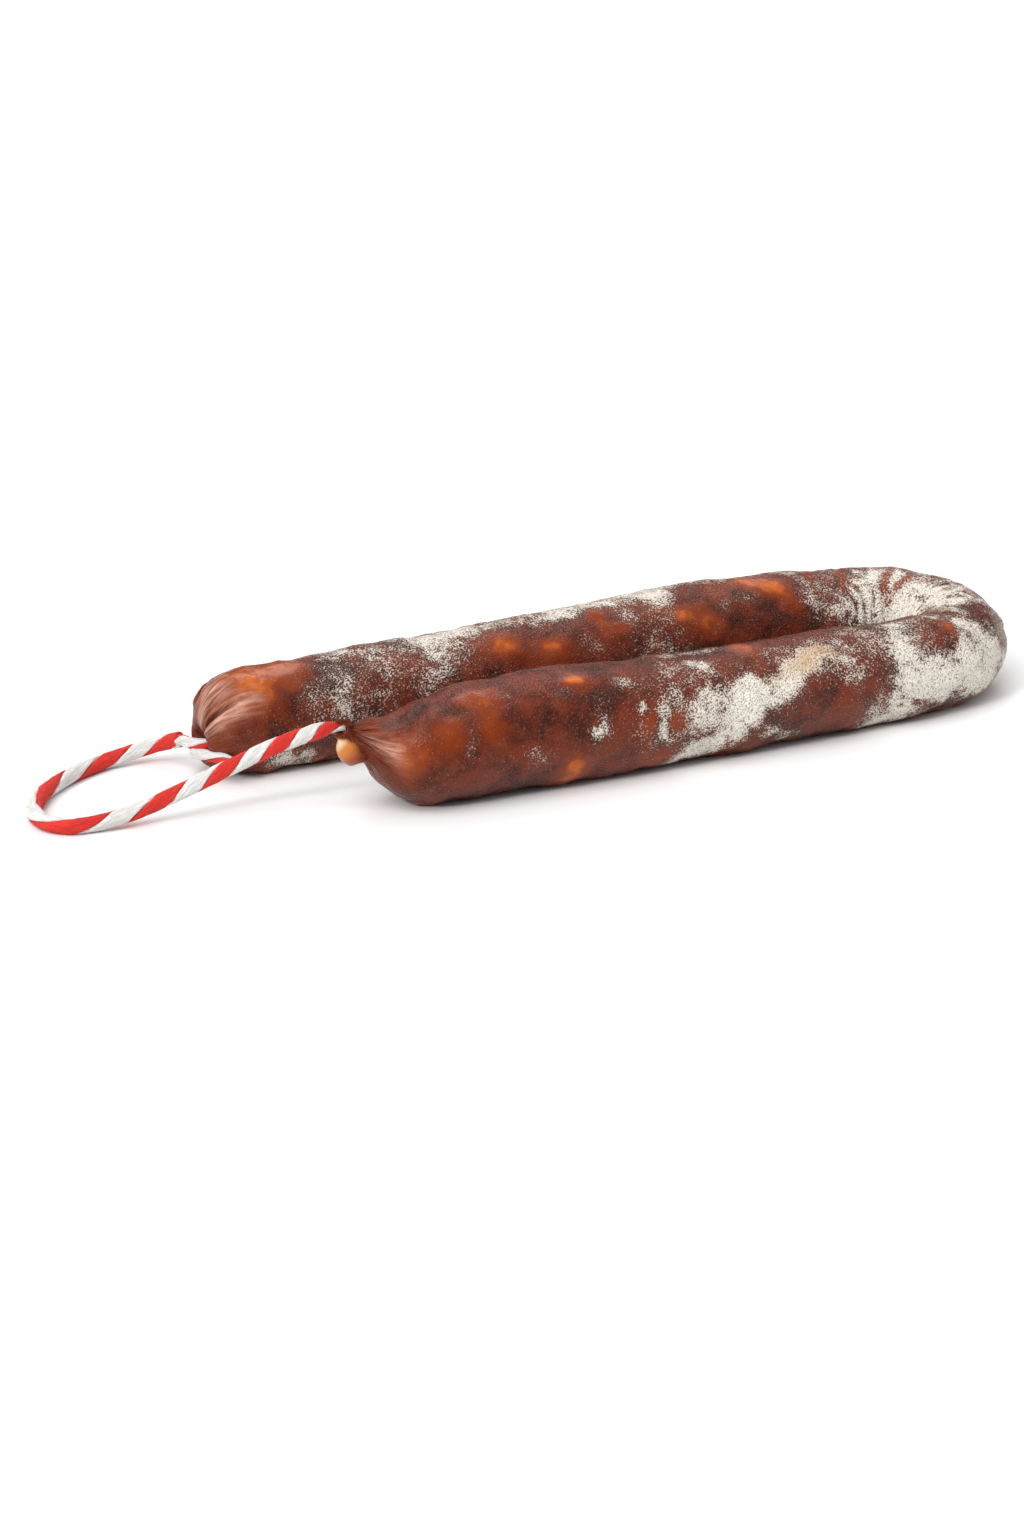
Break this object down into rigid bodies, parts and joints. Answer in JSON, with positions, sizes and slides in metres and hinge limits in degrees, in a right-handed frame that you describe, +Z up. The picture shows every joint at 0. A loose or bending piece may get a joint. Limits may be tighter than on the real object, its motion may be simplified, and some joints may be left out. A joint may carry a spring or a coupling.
{
  "type": "cured sausage",
  "caption": "Dry-cured sausage bent into a horseshoe, with a twisted two-colour cord loop joining its tips for hanging.",
  "frame": {"origin": "under the middle of the sausage's bounding box, on the surface that it rests on; the cord is not counted", "axes": "+X along the legs towards the bend, +Y from the near leg to the far leg, +Z up"},
  "size_m": [0.3246, 0.0883, 0.0347],
  "materials": {
    "casing": "natural casing over dark red-brown meat, softly glossy, with orange fat showing through and an off-white bloom in patches",
    "cord": "two-ply twisted cord, one ply red and one white, matt"
  },
  "bodies": {
    "root": {"sausage": "casing", "far_turn": "cord", "hanging_cord": "cord", "cord_tail": "cord"}
  },
  "joints": []
}
